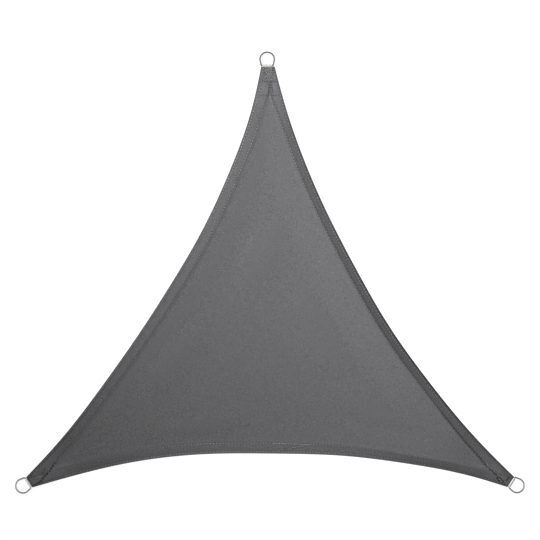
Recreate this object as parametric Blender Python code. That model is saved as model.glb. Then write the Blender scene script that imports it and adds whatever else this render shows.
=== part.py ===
"""Triangular shade sail, 2 m a side, lying face up on a flat surface.

One cloth with three inward-bowed edges and hems turned to its back, a webbing
loop sewn into each corner, and a steel D-ring held by each loop.

Metres, +Z up. Seen face on, +X runs to the right and +Y to the top corner. The
origin is the middle of the whole footprint, on the surface that it lies on.
"""
import math
from collections import namedtuple

import bmesh
import bpy
import numpy as np
from mathutils import Matrix, Vector
from mathutils.geometry import delaunay_2d_cdt, tessellate_polygon

MM = 0.001
GAP = 0.3 * MM                      # clearance between separate pieces

# --- Corners: middle of the cloth's straight end, the way it faces, its width.
# --- loop_shift and ring_shift are how far the loop and ring sit off its middle.
Corner = namedtuple("Corner", "name x y facing_deg width loop_shift ring_shift")
CORNERS = (
    Corner("left", -0.992, -0.867, 212.5, 50 * MM, -1.0 * MM, -2.0 * MM),
    Corner("right", 0.995, -0.865, -32.5, 51 * MM, 0.5 * MM, 1.5 * MM),
    Corner("top", -0.007, 0.849, 90.0, 56 * MM, 2.0 * MM, 3.0 * MM),
)

# --- Sides, from one corner to the next, anticlockwise. The edge's inward bow is a sum
# --- of half waves, in mm: one over the whole side, then two, three and so on. The hem
# --- stands up as a low ridge, highest at ridge_at along the side.
Side = namedtuple("Side", "name waves ridge ridge_at ridge_spread")
SIDES = (
    Side("bottom", (149.7, 2.8, 10.2, -1.1, 0.4, -1.1, 1.0, -0.5), 4.0 * MM, 0.78, 0.26),
    Side("right", (139.7, 0.5, 7.5, -1.2, 1.6, 0.7, 0.7, -0.3), 6.0 * MM, 0.42, 0.40),
    Side("left", (131.7, 11.0, 10.0, 0.0, 2.7, 0.5, 1.3, 0.3), 2.5 * MM, 0.84, 0.24),
)
RIDGE_BASE = 0.8 * MM               # how far any hem's inner row stands up
RIDGE_RUN = 170 * MM                # the panel comes back down over this width
RIDGE_NONE = 130 * MM               # no ridge this close to a corner's end
RIDGE_FULL = 310 * MM               # full ridge from here on

# --- Thickness across the hem, in mm from the edge inward.
HemLine = namedtuple("HemLine", "offset thick")
HEM_SECTION = (
    HemLine(0.0, 1.5),              # folded edge
    HemLine(4.0, 2.3),
    HemLine(11.0, 2.0),             # outer row of stitches
    HemLine(26.0, 2.8),             # crown of the band
    HemLine(41.0, 2.1),             # inner row of stitches
    HemLine(53.0, 2.3),             # inner edge of the turned-under cloth
    HemLine(60.0, 1.2),             # single cloth
)
INNER_ROW = 41 * MM

# --- Low swells that the panel lies in: middle, direction, half lengths, height.
Swell = namedtuple("Swell", "x y along_deg half_length half_width height")
SWELLS = (
    Swell(-0.27, -0.63, 8, 0.19, 0.050, 2.2 * MM),     # crease over the bottom hem
    Swell(-0.02, 0.08, 62, 0.22, 0.090, 2.4 * MM),
    Swell(0.20, -0.24, 118, 0.24, 0.090, 2.4 * MM),
    Swell(-0.40, -0.36, 50, 0.20, 0.080, 2.2 * MM),
    Swell(0.44, -0.58, 155, 0.22, 0.080, 2.0 * MM),
    Swell(0.02, 0.42, 95, 0.18, 0.065, 1.6 * MM),
)
SWELL_FOOT = 0.25                   # this share of each swell is cut off, flat on the surface

# --- Webbing loop and D-ring.
WEBBING_THICK = 1.2 * MM
WEBBING_WIDE = 40 * MM
TAIL_LONG = 60 * MM                 # inside the corner
WIRE_R = 3.75 * MM
RING_WIDE = 66.5 * MM               # outside, across the arc
RING_DEEP = 62 * MM                 # outside, bar to crown
LEG_LEAN_DEG = 12.0                 # the legs close in towards the bar
RING_BEND_R = 5.5 * MM              # centre line, where a leg meets the bar
CROWN_CLEAR = 0.05 * MM             # the crown all but rests on the surface
EYE_CLEAR = 0.4 * MM                # webbing to bar
EYE_R = WIRE_R + EYE_CLEAR
LOOP_R = EYE_R + WEBBING_THICK
BAR_OUT = LOOP_R - 0.35 * MM        # bar's axis beyond the cloth's end
NECK_DEG = 130.0                    # the webbing wraps this far round the bar from its outer side

# --- Corner build-up: the tails lie in a pocket between two layers of cloth.
POCKET_LAYER = 1.1 * MM
POCKET_HIGH = 2 * WEBBING_THICK + 2 * GAP
CORNER_THICK = POCKET_HIGH + 2 * POCKET_LAYER
POCKET_MID = CORNER_THICK / 2
BAR_HIGH = LOOP_R + GAP             # bar's axis above the surface
CORNER_RISE = BAR_HIGH - POCKET_MID  # the ring's loop lifts the corner's end
RISE_LONG = 120 * MM                # the lift fades out over this length
THICK_LONG = 66 * MM                # full thickness up to here
THICK_FADE = 42 * MM
RIM_SHARE = 0.6                     # the corner's side edges are this much thinner
RIM_WIDE = 4 * MM

# --- Mesh spacing.
SIDE_STEPS = 44
PANEL_STEP = 72 * MM
CORNER_ROWS = (4, 22, 44, 66, 80, 96, 120)          # mm behind the end
CORNER_LANES = (-32, -20, -7, 7, 20, 32)            # mm across it
SWELL_SHARES = (-1.1, -0.75, -0.4, 0.0, 0.4, 0.75, 1.1)   # of a swell's half length or width
HEM_CLEAR = 3.6 * MM                # least distance between neighbouring points: at the hems,
SWELL_CLEAR = 19 * MM               # on the swells
PANEL_CLEAR = 36 * MM               # and over the rest of the panel
HALF_SPAN = 1.05                    # the panel's rows and columns run this far from the middle
WIRE_SIDES = 12
ARC_STEPS = 34
BEND_STEPS = 5
EYE_STEPS = 24
TAIL_STEPS = 5


def clear_scene():
    for thing in list(bpy.data.objects):
        bpy.data.objects.remove(thing, do_unlink=True)


def make_material(name, colour, roughness, metallic=0.0):
    material = bpy.data.materials.new(name)
    material.use_nodes = True
    shader = material.node_tree.nodes["Principled BSDF"]
    shader.inputs["Base Color"].default_value = (*colour, 1.0)
    shader.inputs["Roughness"].default_value = roughness
    shader.inputs["Metallic"].default_value = metallic
    return material


def add_object(name, mesh, material, matrix=None, smooth_deg=40):
    mesh.materials.append(material)
    mesh.shade_smooth()
    mesh.set_sharp_from_angle(angle=math.radians(smooth_deg))
    thing = bpy.data.objects.new(name, mesh)
    bpy.context.collection.objects.link(thing)
    if matrix is not None:
        thing.matrix_world = matrix
    return thing


def unit(vector):
    return vector / np.linalg.norm(vector)


def left_of(vector):
    return np.array((-vector[1], vector[0]))


def fade(value, start, end):
    """0 at start, 1 at end, with a soft run between."""
    share = np.clip((value - start) / (end - start), 0.0, 1.0)
    return share * share * (3.0 - 2.0 * share)


# ---------------------------------------------------------------- plan of the sail
RING_ARC_R = RING_WIDE / 2 - WIRE_R
RING_ARC_OUT = RING_DEEP - 2 * WIRE_R - RING_ARC_R      # arc's centre beyond the bar


def facing(corner):
    angle = math.radians(corner.facing_deg)
    return np.array((math.cos(angle), math.sin(angle)))


def ring_middle(corner):
    out = facing(corner)
    reach = out * (BAR_OUT + RING_ARC_OUT)
    return np.array((corner.x, corner.y)) + reach + left_of(out) * corner.ring_shift


def footprint_middle():
    """The rings' round sides reach furthest every way, so their middles set it."""
    left, right, top = (ring_middle(corner) for corner in CORNERS)
    return np.array(((left[0] + right[0]) / 2, (top[1] + min(left[1], right[1])) / 2))


MIDDLE = footprint_middle()


def corner_end(corner):
    return np.array((corner.x, corner.y)) - MIDDLE


def side_ends():
    """Start and end point of each side, in the order of SIDES."""
    out = []
    for index in range(3):
        start, stop = CORNERS[index], CORNERS[(index + 1) % 3]
        begin = corner_end(start) + left_of(facing(start)) * start.width / 2
        end = corner_end(stop) - left_of(facing(stop)) * stop.width / 2
        out.append((begin, end))
    return out


ENDS = side_ends()


def bow(side, share):
    """How far the edge bows inward at a share of the side, and its slope."""
    depth = 0.0
    slope = 0.0
    for count, height in enumerate(side.waves, start=1):
        turn = count * math.pi
        depth = depth + height * MM * np.sin(turn * share)
        slope = slope + height * MM * turn * np.cos(turn * share)
    return depth, slope


def side_point(index, share, inward):
    """A point at a share of the side, a distance inward from its edge."""
    begin, end = ENDS[index]
    chord = np.linalg.norm(end - begin)
    along = unit(end - begin)
    depth, slope = bow(SIDES[index], share)
    edge = begin + along * share * chord + left_of(along) * depth
    return edge + left_of(unit(along + left_of(along) * slope / chord)) * inward


def side_reading(index, points):
    """For points in plan: their share along the side and distance inside its edge."""
    begin, end = ENDS[index]
    chord = np.linalg.norm(end - begin)
    along = unit(end - begin)
    share = (points - begin) @ along / chord
    depth, slope = bow(SIDES[index], np.clip(share, 0.0, 1.0))
    inside = ((points - begin) @ left_of(along) - depth) / np.hypot(1.0, slope / chord)
    return share, inside


def corner_reading(corner, points):
    """For points in plan: how far behind the corner's end, and how far across it."""
    out = facing(corner)
    local = points - corner_end(corner)
    return -(local @ out), local @ left_of(out)


# ---------------------------------------------------------------- heights of the sail
def corner_rise(behind):
    """The corner curves up to its loop: a parabola that is flat where it starts."""
    return CORNER_RISE * np.clip(1.0 - np.maximum(behind, 0.0) / RISE_LONG, 0.0, 1.0) ** 2


def swell_height(points):
    total = np.zeros(len(points))
    for swell in SWELLS:
        angle = math.radians(swell.along_deg)
        along = np.array((math.cos(angle), math.sin(angle)))
        local = points - np.array((swell.x, swell.y))
        far = (local @ along / swell.half_length) ** 2 + (local @ left_of(along) / swell.half_width) ** 2
        rise = (np.exp(-far) - SWELL_FOOT) / (1.0 - SWELL_FOOT)
        total = np.maximum(total, swell.height * np.maximum(rise, 0.0))
    return total


def underside(points):
    """Height of the cloth's underside over the surface."""
    height = swell_height(points)
    for index, side in enumerate(SIDES):
        share, inside = side_reading(index, points)
        crest = RIDGE_BASE + side.ridge * np.exp(-(((share - side.ridge_at) / side.ridge_spread) ** 2))
        section = fade(inside, 0.0, INNER_ROW) * (1.0 - fade(inside, INNER_ROW, INNER_ROW + RIDGE_RUN))
        clear = np.ones(len(points))
        for corner in CORNERS:
            behind, across = corner_reading(corner, points)
            clear *= fade(np.hypot(behind, across), RIDGE_NONE, RIDGE_FULL)
        height = np.maximum(height, crest * section * clear)
    for corner in CORNERS:
        behind, across = corner_reading(corner, points)
        height += corner_rise(behind) * (np.abs(across) < RISE_LONG)
    return height


def thickness(points):
    offsets = [line.offset * MM for line in HEM_SECTION]
    thicks = [line.thick * MM for line in HEM_SECTION]
    nearest = np.min([side_reading(index, points)[1] for index in range(3)], axis=0)
    thick = np.interp(nearest, offsets, thicks)
    rim = RIM_SHARE + (1.0 - RIM_SHARE) * np.clip(nearest / RIM_WIDE, 0.0, 1.0)
    for corner in CORNERS:
        behind, across = corner_reading(corner, points)
        share = (1.0 - fade(behind, THICK_LONG, THICK_LONG + THICK_FADE)) * (np.abs(across) < RISE_LONG)
        thick = np.maximum(thick, CORNER_THICK * rim * share)
    return thick


# ---------------------------------------------------------------- the cloth
def outline():
    """Points round the cloth's edge, anticlockwise: side, corner end, side and so on."""
    points = []
    for index in range(3):
        for step in range(SIDE_STEPS + 1):
            points.append(side_point(index, step / SIDE_STEPS, 0.0))
        stop = CORNERS[(index + 1) % 3]
        for share in (-0.25, 0.0, 0.25):
            points.append(corner_end(stop) + left_of(facing(stop)) * share * stop.width)
    return points


def hem_points():
    for line in HEM_SECTION[1:]:
        for index in range(3):
            for step in range(1, SIDE_STEPS):
                yield side_point(index, step / SIDE_STEPS, line.offset * MM)


def corner_points():
    for corner in CORNERS:
        out = facing(corner)
        for behind in CORNER_ROWS:
            for across in CORNER_LANES:
                yield corner_end(corner) - out * behind * MM + left_of(out) * across * MM


def swell_points():
    for swell in SWELLS:
        angle = math.radians(swell.along_deg)
        along = np.array((math.cos(angle), math.sin(angle)))
        for share in SWELL_SHARES:
            for other in SWELL_SHARES:
                offset = along * share * swell.half_length + left_of(along) * other * swell.half_width
                yield np.array((swell.x, swell.y)) + offset


def panel_points():
    """Staggered rows over the whole footprint."""
    row_step = PANEL_STEP * math.sqrt(3) / 2
    rows = int(HALF_SPAN / row_step)
    columns = int(HALF_SPAN / PANEL_STEP)
    for row in range(-rows, rows + 1):
        for column in range(-columns, columns + 1):
            yield np.array(((column + 0.5 * (row % 2)) * PANEL_STEP, row * row_step))


def all_points(edge):
    """The edge's points, then those inside it that keep clear of all before them."""
    kept = list(edge)
    groups = (
        (corner_points(), HEM_CLEAR),
        (hem_points(), HEM_CLEAR),
        (swell_points(), SWELL_CLEAR),
        (panel_points(), PANEL_CLEAR),
    )
    for points, clear in groups:
        for point in points:
            inside = min(side_reading(index, point[None])[1][0] for index in range(3))
            behind = min(corner_reading(corner, point[None])[0][0] for corner in CORNERS)
            nearest = np.min(np.hypot(*(np.array(kept) - point).T))
            if min(inside, behind, nearest) > clear:
                kept.append(point)
    return kept


def build_cloth(material):
    edge = outline()
    points = [Vector((float(x), float(y))) for x, y in all_points(edge)]
    ring = list(range(len(edge)))
    verts, _, faces, origins, _, _ = delaunay_2d_cdt(points, [], [ring], 1, 1e-7)
    place_of = {origin: place for place, found in enumerate(origins) for origin in found}
    ring = [place_of[origin] for origin in ring]
    plan = np.array([(v.x, v.y) for v in verts])
    low = underside(plan)
    high = low + thickness(plan)
    bm = bmesh.new()
    under = [bm.verts.new((x, y, z)) for (x, y), z in zip(plan, low)]
    over = [bm.verts.new((x, y, z)) for (x, y), z in zip(plan, high)]
    for face in faces:
        bm.faces.new([over[i] for i in face])
        bm.faces.new([under[i] for i in reversed(face)])
    for a, b in zip(ring, ring[1:] + ring[:1]):
        bm.faces.new((under[a], under[b], over[b], over[a]))
    bmesh.ops.triangulate(bm, faces=bm.faces)
    bmesh.ops.recalc_face_normals(bm, faces=bm.faces)
    mesh = bpy.data.meshes.new("sail_cloth")
    bm.to_mesh(mesh)
    bm.free()
    cloth = add_object("sail_cloth", mesh, material)
    for corner in CORNERS:
        pocket = cloth.modifiers.new("pocket_" + corner.name, "BOOLEAN")
        pocket.operation = "DIFFERENCE"
        pocket.solver = "EXACT"
        pocket.object = pocket_cutter(corner)
    return cloth


# ---------------------------------------------------------------- webbing and pockets
def corner_matrix(corner, shift):
    """Local X runs out of the corner, Y across it, Z up."""
    place = corner_end(corner) + left_of(facing(corner)) * shift
    turn = Matrix.Rotation(math.radians(corner.facing_deg), 4, "Z")
    return Matrix.Translation((place[0], place[1], 0.0)) @ turn


def tail_line(length):
    """The tails' middle line, from its far end inside the corner to just past the cloth's end."""
    places = [GAP - (length + GAP) * step / TAIL_STEPS for step in range(TAIL_STEPS, -1, -1)]
    return [(x, POCKET_MID + float(corner_rise(-x))) for x in places]


def extruded(name, outer, hole, half_width):
    """A closed solid: the X-Z outline, with an optional hole, carried across Y."""
    rings = [outer] + ([hole] if hole else [])
    flat = [point for ring in rings for point in ring]
    caps = tessellate_polygon([[Vector((x, z, 0.0)) for x, z in ring] for ring in rings])
    bm = bmesh.new()
    near = [bm.verts.new((x, -half_width, z)) for x, z in flat]
    far = [bm.verts.new((x, half_width, z)) for x, z in flat]
    for triangle in caps:
        bm.faces.new([near[i] for i in triangle])
        bm.faces.new([far[i] for i in reversed(triangle)])
    first = 0
    for ring in rings:
        for step in range(len(ring)):
            a, b = first + step, first + (step + 1) % len(ring)
            bm.faces.new((near[a], near[b], far[b], far[a]))
        first += len(ring)
    bmesh.ops.triangulate(bm, faces=[face for face in bm.faces if len(face.verts) > 3])
    bmesh.ops.recalc_face_normals(bm, faces=bm.faces)
    mesh = bpy.data.meshes.new(name)
    bm.to_mesh(mesh)
    bm.free()
    return mesh


def pocket_cutter(corner):
    middle = tail_line(TAIL_LONG + GAP)
    middle.append((BAR_OUT, POCKET_MID + CORNER_RISE))
    half = POCKET_HIGH / 2
    outer = [(x, z - half) for x, z in middle] + [(x, z + half) for x, z in reversed(middle)]
    mesh = extruded("pocket_shape_" + corner.name, outer, None, WEBBING_WIDE / 2 + GAP)
    cutter = bpy.data.objects.new("pocket_cutter_" + corner.name, mesh)
    bpy.context.collection.objects.link(cutter)
    cutter.matrix_world = corner_matrix(corner, corner.loop_shift)
    cutter.hide_render = True
    cutter.display_type = "WIRE"
    return cutter


def build_loop(corner, material):
    middle = tail_line(TAIL_LONG)
    half = WEBBING_THICK
    neck = math.radians(NECK_DEG)
    arc = []
    for step in range(EYE_STEPS + 1):
        angle = -neck + 2 * neck * step / EYE_STEPS
        arc.append((BAR_OUT + LOOP_R * math.cos(angle), BAR_HIGH + LOOP_R * math.sin(angle)))
    outer = [(x, z - half) for x, z in middle] + arc + [(x, z + half) for x, z in reversed(middle)]
    hole = []
    for step in range(EYE_STEPS):
        angle = 2 * math.pi * step / EYE_STEPS
        hole.append((BAR_OUT + EYE_R * math.cos(angle), BAR_HIGH + EYE_R * math.sin(angle)))
    mesh = extruded("webbing_loop_" + corner.name, outer, hole, WEBBING_WIDE / 2)
    return add_object("webbing_loop_" + corner.name, mesh, material, corner_matrix(corner, corner.loop_shift))


# ---------------------------------------------------------------- D-ring
def ring_path():
    """The wire's middle line round the D, in plan: X outward from the bar, Y along it."""
    lean = math.radians(LEG_LEAN_DEG)
    points = []
    for step in range(ARC_STEPS + 1):
        angle = -lean + (math.pi + 2 * lean) * step / ARC_STEPS
        points.append((RING_ARC_OUT + RING_ARC_R * math.sin(angle), RING_ARC_R * math.cos(angle)))
    turn = math.pi / 2 - lean                                   # from a leg's line to the bar's
    leg_foot = points[0][1] - points[0][0] * math.tan(lean)     # where these lines meet
    bar_half = leg_foot - RING_BEND_R * math.tan(turn / 2)
    bend = []
    for step in range(BEND_STEPS + 1):
        angle = turn * step / BEND_STEPS
        out = RING_BEND_R * (1 - math.cos(angle))
        bend.append((out, bar_half + RING_BEND_R * math.sin(angle)))
    points += [(x, -y) for x, y in reversed(bend)]
    return points + bend


def build_ring(corner, material):
    path = [Vector((x, y, 0.0)) for x, y in ring_path()]
    bm = bmesh.new()
    loops = []
    for index, point in enumerate(path):
        ahead = path[(index + 1) % len(path)]
        along = (ahead - point).normalized() + (point - path[index - 1]).normalized()
        side = Vector((0, 0, 1)).cross(along.normalized())
        loop = []
        for step in range(WIRE_SIDES):
            angle = 2 * math.pi * step / WIRE_SIDES
            offset = side * math.cos(angle) + Vector((0, 0, math.sin(angle)))
            loop.append(bm.verts.new(point + offset * WIRE_R))
        loops.append(loop)
    for index, loop in enumerate(loops):
        following = loops[(index + 1) % len(loops)]
        for step in range(WIRE_SIDES):
            after = (step + 1) % WIRE_SIDES
            bm.faces.new((loop[step], loop[after], following[after], following[step]))
    bmesh.ops.triangulate(bm, faces=bm.faces)
    bmesh.ops.recalc_face_normals(bm, faces=bm.faces)
    mesh = bpy.data.meshes.new("ring_" + corner.name)
    bm.to_mesh(mesh)
    bm.free()
    crown = RING_ARC_OUT + RING_ARC_R
    drop = BAR_HIGH - WIRE_R - CROWN_CLEAR
    matrix = (corner_matrix(corner, corner.ring_shift)
              @ Matrix.Translation((BAR_OUT, 0.0, BAR_HIGH))
              @ Matrix.Rotation(math.asin(drop / crown), 4, "Y"))
    return add_object("ring_" + corner.name, mesh, material, matrix)


def main():
    clear_scene()
    build_cloth(make_material("dark_grey_polyester", (0.13, 0.13, 0.135), 0.8))
    for corner in CORNERS:
        build_loop(corner, make_material("pale_webbing_" + corner.name, (0.8, 0.8, 0.8), 0.75))
        build_ring(corner, make_material("steel_wire_" + corner.name, (0.62, 0.62, 0.63), 0.25, 1.0))


main()
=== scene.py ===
"""Looks of the triangular shade sail: its woven cloth with hems turned to the back,
the thread of its seams, the webbing loops and the steel D-rings.

Metres, +Z up out of the sail's face, +Y to the top corner. Offsets written in mm are
measured inward from the cloth's edge.
"""

import math
from collections import Counter, namedtuple
from functools import partial

import bmesh
import bpy
import numpy as np
from mathutils import Matrix, Vector
from mathutils.geometry import delaunay_2d_cdt
from mathutils.kdtree import KDTree


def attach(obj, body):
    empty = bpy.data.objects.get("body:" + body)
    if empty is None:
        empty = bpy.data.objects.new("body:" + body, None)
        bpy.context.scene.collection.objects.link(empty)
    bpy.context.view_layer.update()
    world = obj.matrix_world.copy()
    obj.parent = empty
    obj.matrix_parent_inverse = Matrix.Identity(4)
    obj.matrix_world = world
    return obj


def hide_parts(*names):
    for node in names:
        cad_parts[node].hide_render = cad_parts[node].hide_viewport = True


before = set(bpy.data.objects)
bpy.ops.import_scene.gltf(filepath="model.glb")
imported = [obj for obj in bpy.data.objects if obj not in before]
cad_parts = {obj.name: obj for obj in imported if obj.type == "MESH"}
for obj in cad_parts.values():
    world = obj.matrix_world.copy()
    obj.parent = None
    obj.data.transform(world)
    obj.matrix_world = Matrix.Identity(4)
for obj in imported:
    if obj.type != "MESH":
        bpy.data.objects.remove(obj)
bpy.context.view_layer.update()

MM = 0.001


def table(kind, *rows):
    """Rows of numbers, with a name for each column."""
    return tuple(kind(*row) for row in rows)


# Corners: middle of the cloth's straight end, the way it faces, its width.
# loop_shift and ring_shift are how far the loop and ring sit off its middle. Where the
# webbing comes out the cloth's end is notched, with a shoulder standing out on each
# side. The last three columns are painted light and shade: how much lighter or darker
# the cloth, the strap and the ring are painted at that corner.
Corner = namedtuple(
    "Corner", "name x y facing_deg width loop_shift ring_shift notch shoulder_left shoulder_right"
    " cloth_tone strap_tone ring_tone")
CORNERS = table(
    Corner,
    ("left", -0.992, -0.867, 212.5, 50 * MM, -1.0 * MM, -2.0 * MM, 1.0 * MM, 0.4 * MM, 1.2 * MM,
     1.40, 1.36, 1.0),
    ("right", 0.995, -0.865, -32.5, 51 * MM, 0.5 * MM, 1.5 * MM, 0.8 * MM, 1.2 * MM, 0.8 * MM,
     1.0, 0.74, 0.92),
    ("top", -0.007, 0.849, 90.0, 56 * MM, 2.0 * MM, 3.0 * MM, 3.0 * MM, 1.2 * MM, 1.0 * MM,
     1.22, 0.69, 0.70),
)

# Sides, from one corner to the next, anticlockwise: bottom, right and left. The edge's
# inward bow is a sum of half waves, in mm. The hem stands up as a low ridge, highest at
# ridge_at along the side, and the panel comes back down over ridge_run. roll is how far
# the folded edge curls down from the band beside it, or up where it is negative.
Side = namedtuple("Side", "waves ridge ridge_at ridge_spread ridge_run roll")
SIDES = table(
    Side,
    ((149.4, 2.8, 10.1, -1.1, 0.3, -1.1, 1.0, -0.5), 6.5 * MM, 0.84, 0.22, 130 * MM, -0.6 * MM),
    ((139.2, 0.5, 7.3, -1.2, 1.5, 0.7, 0.7, -0.3), 9.5 * MM, 0.40, 0.42, 170 * MM, 2.2 * MM),
    ((130.5, 11.0, 9.6, 0.0, 2.5, 0.5, 1.2, 0.3), 2.0 * MM, 0.36, 0.34, 150 * MM, 0.5 * MM),
)
RIDGE_BASE = 0.8 * MM  # how far any hem's inner row stands up
RIDGE_POWER = 1.25  # above 1, the band steepens towards its inner row
RIDGE_NONE = 130 * MM  # no ridge this close to a corner's end
RIDGE_FULL = 310 * MM  # full ridge from here on
ROLL_WIDE = 9 * MM  # the curl takes this much of the band

# The two rows of stitches wander. At shares of each side: the row's distance from the
# edge in mm, the thread's painted highlight or shade, how dark the painted shade round
# its needle holes is, and the height of the puckers that it draws across the band, in mm.
RowPoint = namedtuple("RowPoint", "share offset tone mark pucker", defaults=(0,))
OUTER_ROWS = (
    table(RowPoint, (0, 9, 0.1, 0.9), (0.05, 9, 0.2, 0.9), (0.08, 9, 0.75, 0.8), (0.5, 9.5, 0.85, 0.9),
          (0.72, 10, 0.8, 0.8), (0.8, 9, 0.45, 0.9), (1, 8, 0.3, 0.9)),
    table(RowPoint, (0, 15, 0.2, 0.5), (0.12, 15, 0.6, 0.4), (0.25, 12.5, 0.7, 0.4),
          (0.5, 11.5, 0.75, 0.5), (0.85, 10.5, 0.85, 0.7), (0.93, 9, 0.8, 0.9), (1, 7, 0.5, 1)),
    table(RowPoint, (0, 13, 0.3, 0.9), (0.05, 13, 1.2, 0.8), (0.09, 10, 1.5, 0.7), (0.2, 9, 1.3, 0.6),
          (0.36, 9, 0.8, 0.5), (0.45, 9, 0.35, 0.5), (0.75, 9, 0.15, 0.4), (1, 9, 0.05, 0.7)),
)
INNER_ROWS = (
    table(RowPoint, (0, 43, 0.2, 0.6), (0.1, 43, 0.35, 0.3), (0.25, 43, 0.5, 0.4),
          (0.29, 43, 1, 0.7, 0.15), (0.5, 43, 1, 0.7, 0.15), (0.56, 40.5, 1, 0.7), (0.63, 40, 0.6, 0.7),
          (0.76, 36.5, 0.35, 0.4), (0.9, 34.5, 0.25, 0.2), (0.926, 37.4, 0.3, 0.2),
          (0.95, 43.5, 0.6, 0.3), (1, 40, 0.1, 0.8)),
    table(RowPoint, (0, 49, 0, 1), (0.009, 54, 0, 1), (0.03, 45, 0, 1), (0.045, 50, 0.2, 1),
          (0.08, 44.5, 0, 0.9), (0.14, 42.5, 0.1, 0.9), (0.18, 40, 0.1, 0.9), (0.24, 38, 0.25, 0.8),
          (0.5, 38, 0.45, 0.7, 0.1), (0.8, 38, 0.75, 0.8, 0.1), (0.87, 35.5, 0.8, 1),
          (0.91, 38.5, 0.6, 1), (0.935, 42.3, 0.2, 1), (1, 46, 0.5, 0.9)),
    table(RowPoint, (0, 48, 0.5, 0.9), (0.046, 51, 0.2, 1), (0.071, 49.5, 0.7, 1), (0.09, 46, 0.9, 0.8),
          (0.14, 43.5, 1, 0.7), (0.2, 41, 1, 0.7, 0.1), (0.34, 41, 0.8, 0.7, 0.1),
          (0.5, 41, 0.5, 0.6, 0.15), (0.75, 41, 0.3, 0.5, 0.25), (0.84, 41, 0.25, 0.4, 0.3),
          (0.88, 44, 0.2, 0.3, 0.15), (0.915, 42, 0.16, 0.35), (0.935, 45, 0.16, 0.5),
          (0.942, 46.7, 0, 0.9), (0.957, 52, 0, 1), (0.967, 55, 0, 1), (0.987, 53.5, 0, 1),
          (1, 50, 0, 1)),
)
DRAWN_ROWS = (11.0, 41.0)  # the section below is drawn for rows at these offsets
HEM_WIDE = 53.0  # to the turned-under cloth's inner fold, as drawn

# Painted light and shade of the doubled cloth beside the single panel, at shares of each
# side: at the folded edge, the strip outside the outer row, the middle of the band, beside
# the inner row, and over the turned-under cloth's last stretch. Below 1 it is painted
# shade over the doubled cloth, its folded edge and slopes away from the light; above 1,
# painted highlight.
HemPaintedLight = namedtuple("HemPaintedLight", "share edge strip band crest last")
HEM_PAINTED_LIGHT = (
    table(HemPaintedLight, (0, 0.75, 0.95, 0.95, 0.9, 1), (0.12, 0.85, 1.1, 0.92, 0.91, 0.98),
          (0.25, 1.05, 1.25, 1, 0.97, 0.96), (0.38, 1.2, 1.35, 1.06, 1.04, 0.95),
          (0.55, 1.1, 1.25, 1.08, 1, 0.97), (0.7, 0.9, 1, 1.02, 0.92, 1),
          (0.85, 0.78, 0.86, 0.82, 0.82, 1), (0.95, 0.68, 0.75, 0.72, 0.78, 1),
          (1, 0.66, 0.8, 0.85, 0.9, 1)),
    table(HemPaintedLight, (0, 0.42, 0.75, 0.88, 0.88, 1), (0.1, 0.42, 0.68, 0.82, 0.76, 1),
          (0.22, 0.32, 0.6, 0.76, 0.64, 0.97), (0.35, 0.36, 0.6, 0.7, 0.55, 0.9),
          (0.5, 0.48, 0.7, 0.76, 0.57, 0.94), (0.65, 0.56, 0.8, 0.83, 0.62, 0.97),
          (0.83, 0.6, 0.84, 0.91, 0.74, 0.96), (0.9, 0.62, 0.88, 1, 0.84, 0.97),
          (1, 0.62, 0.9, 1, 0.95, 1)),
    table(HemPaintedLight, (0, 0.64, 0.93, 0.94, 0.96, 1), (0.2, 0.68, 0.92, 0.9, 0.98, 0.98),
          (0.4, 0.58, 0.9, 0.88, 1.03, 0.93), (0.55, 0.56, 1.06, 0.84, 1.04, 0.95),
          (0.75, 0.52, 1.18, 0.8, 1, 0.98), (0.93, 0.32, 1.12, 0.8, 0.92, 0.98),
          (1, 0.2, 0.95, 0.86, 0.9, 1)),
)
# Where each of these painted tones takes over from the one before it, as drawn offsets.
TONE_STEPS = (("strip", 2.5, 7.0), ("band", 8.5, 13.0), ("crest", 28.0, 38.0), ("last", 40.5, 42.5))
CORNER_TONE_NEAR = 60 * MM  # a corner's painted cloth light fades out over this stretch
CORNER_TONE_FAR = 240 * MM
END_SHADE = 0.45  # painted shade on the cloth's folded edge where the webbing comes out
END_EDGE = (1.0 * MM, 4.5 * MM)  # fades out over this stretch behind it

# Section across the hem: the face over the hem's own underside, and the underside's lift.
HemLine = namedtuple("HemLine", "offset over under")
HEM_SECTION = table(
    HemLine,
    (2.2, 1.3, 0.0),
    (5.0, 1.9, 0.0),
    (8.0, 2.3, 0.1),
    (11.0, 1.9, 0.55),  # outer row of stitches
    (14.0, 1.9, 0.1),
    (18.0, 2.2, 0.0),
    (26.0, 2.7, 0.0),  # crown of the band
    (33.0, 2.8, 0.0),
    (38.0, 2.7, 0.2),
    (41.0, 2.3, 0.55),  # inner row of stitches
    (44.0, 2.1, 0.2),
    (48.0, 1.6, 0.0),
    (53.0, 1.15, 0.0),  # the turned-under cloth ends in a fold
    (53.6, 1.05, 0.45),
    (57.0, 0.9, 0.3),
    (66.0, 0.75, 0.15),  # single cloth
    (120.0, 0.6, 0.0),
)
RIM_ROUND = 1.0 * MM  # the folded edge is round
PUCKER_LEAN = 0.55  # a pucker's run along the band for its way across
PUCKER_FADE = 12 * MM  # and its run out into the panel
BOW_LONGER = 1.013  # an edge is about this much longer than its chord

# Creases and swells of the panel: middle, direction, half lengths, height.
Swell = namedtuple("Swell", "x y along_deg half_length half_width height")
SWELLS = table(
    Swell,
    (-0.27, -0.63, 8, 0.19, 0.050, 2.2 * MM),  # crease over the bottom hem
    (-0.02, 0.08, 62, 0.22, 0.090, 2.4 * MM),
    (0.20, -0.24, 118, 0.24, 0.090, 2.4 * MM),
    (-0.40, -0.36, 50, 0.20, 0.080, 2.2 * MM),
    (0.44, -0.58, 155, 0.22, 0.080, 2.0 * MM),
    (0.02, 0.42, 95, 0.18, 0.065, 1.6 * MM),
)
SWELL_FOOT = 0.25  # this share of each swell is cut off, flat on the surface

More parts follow.
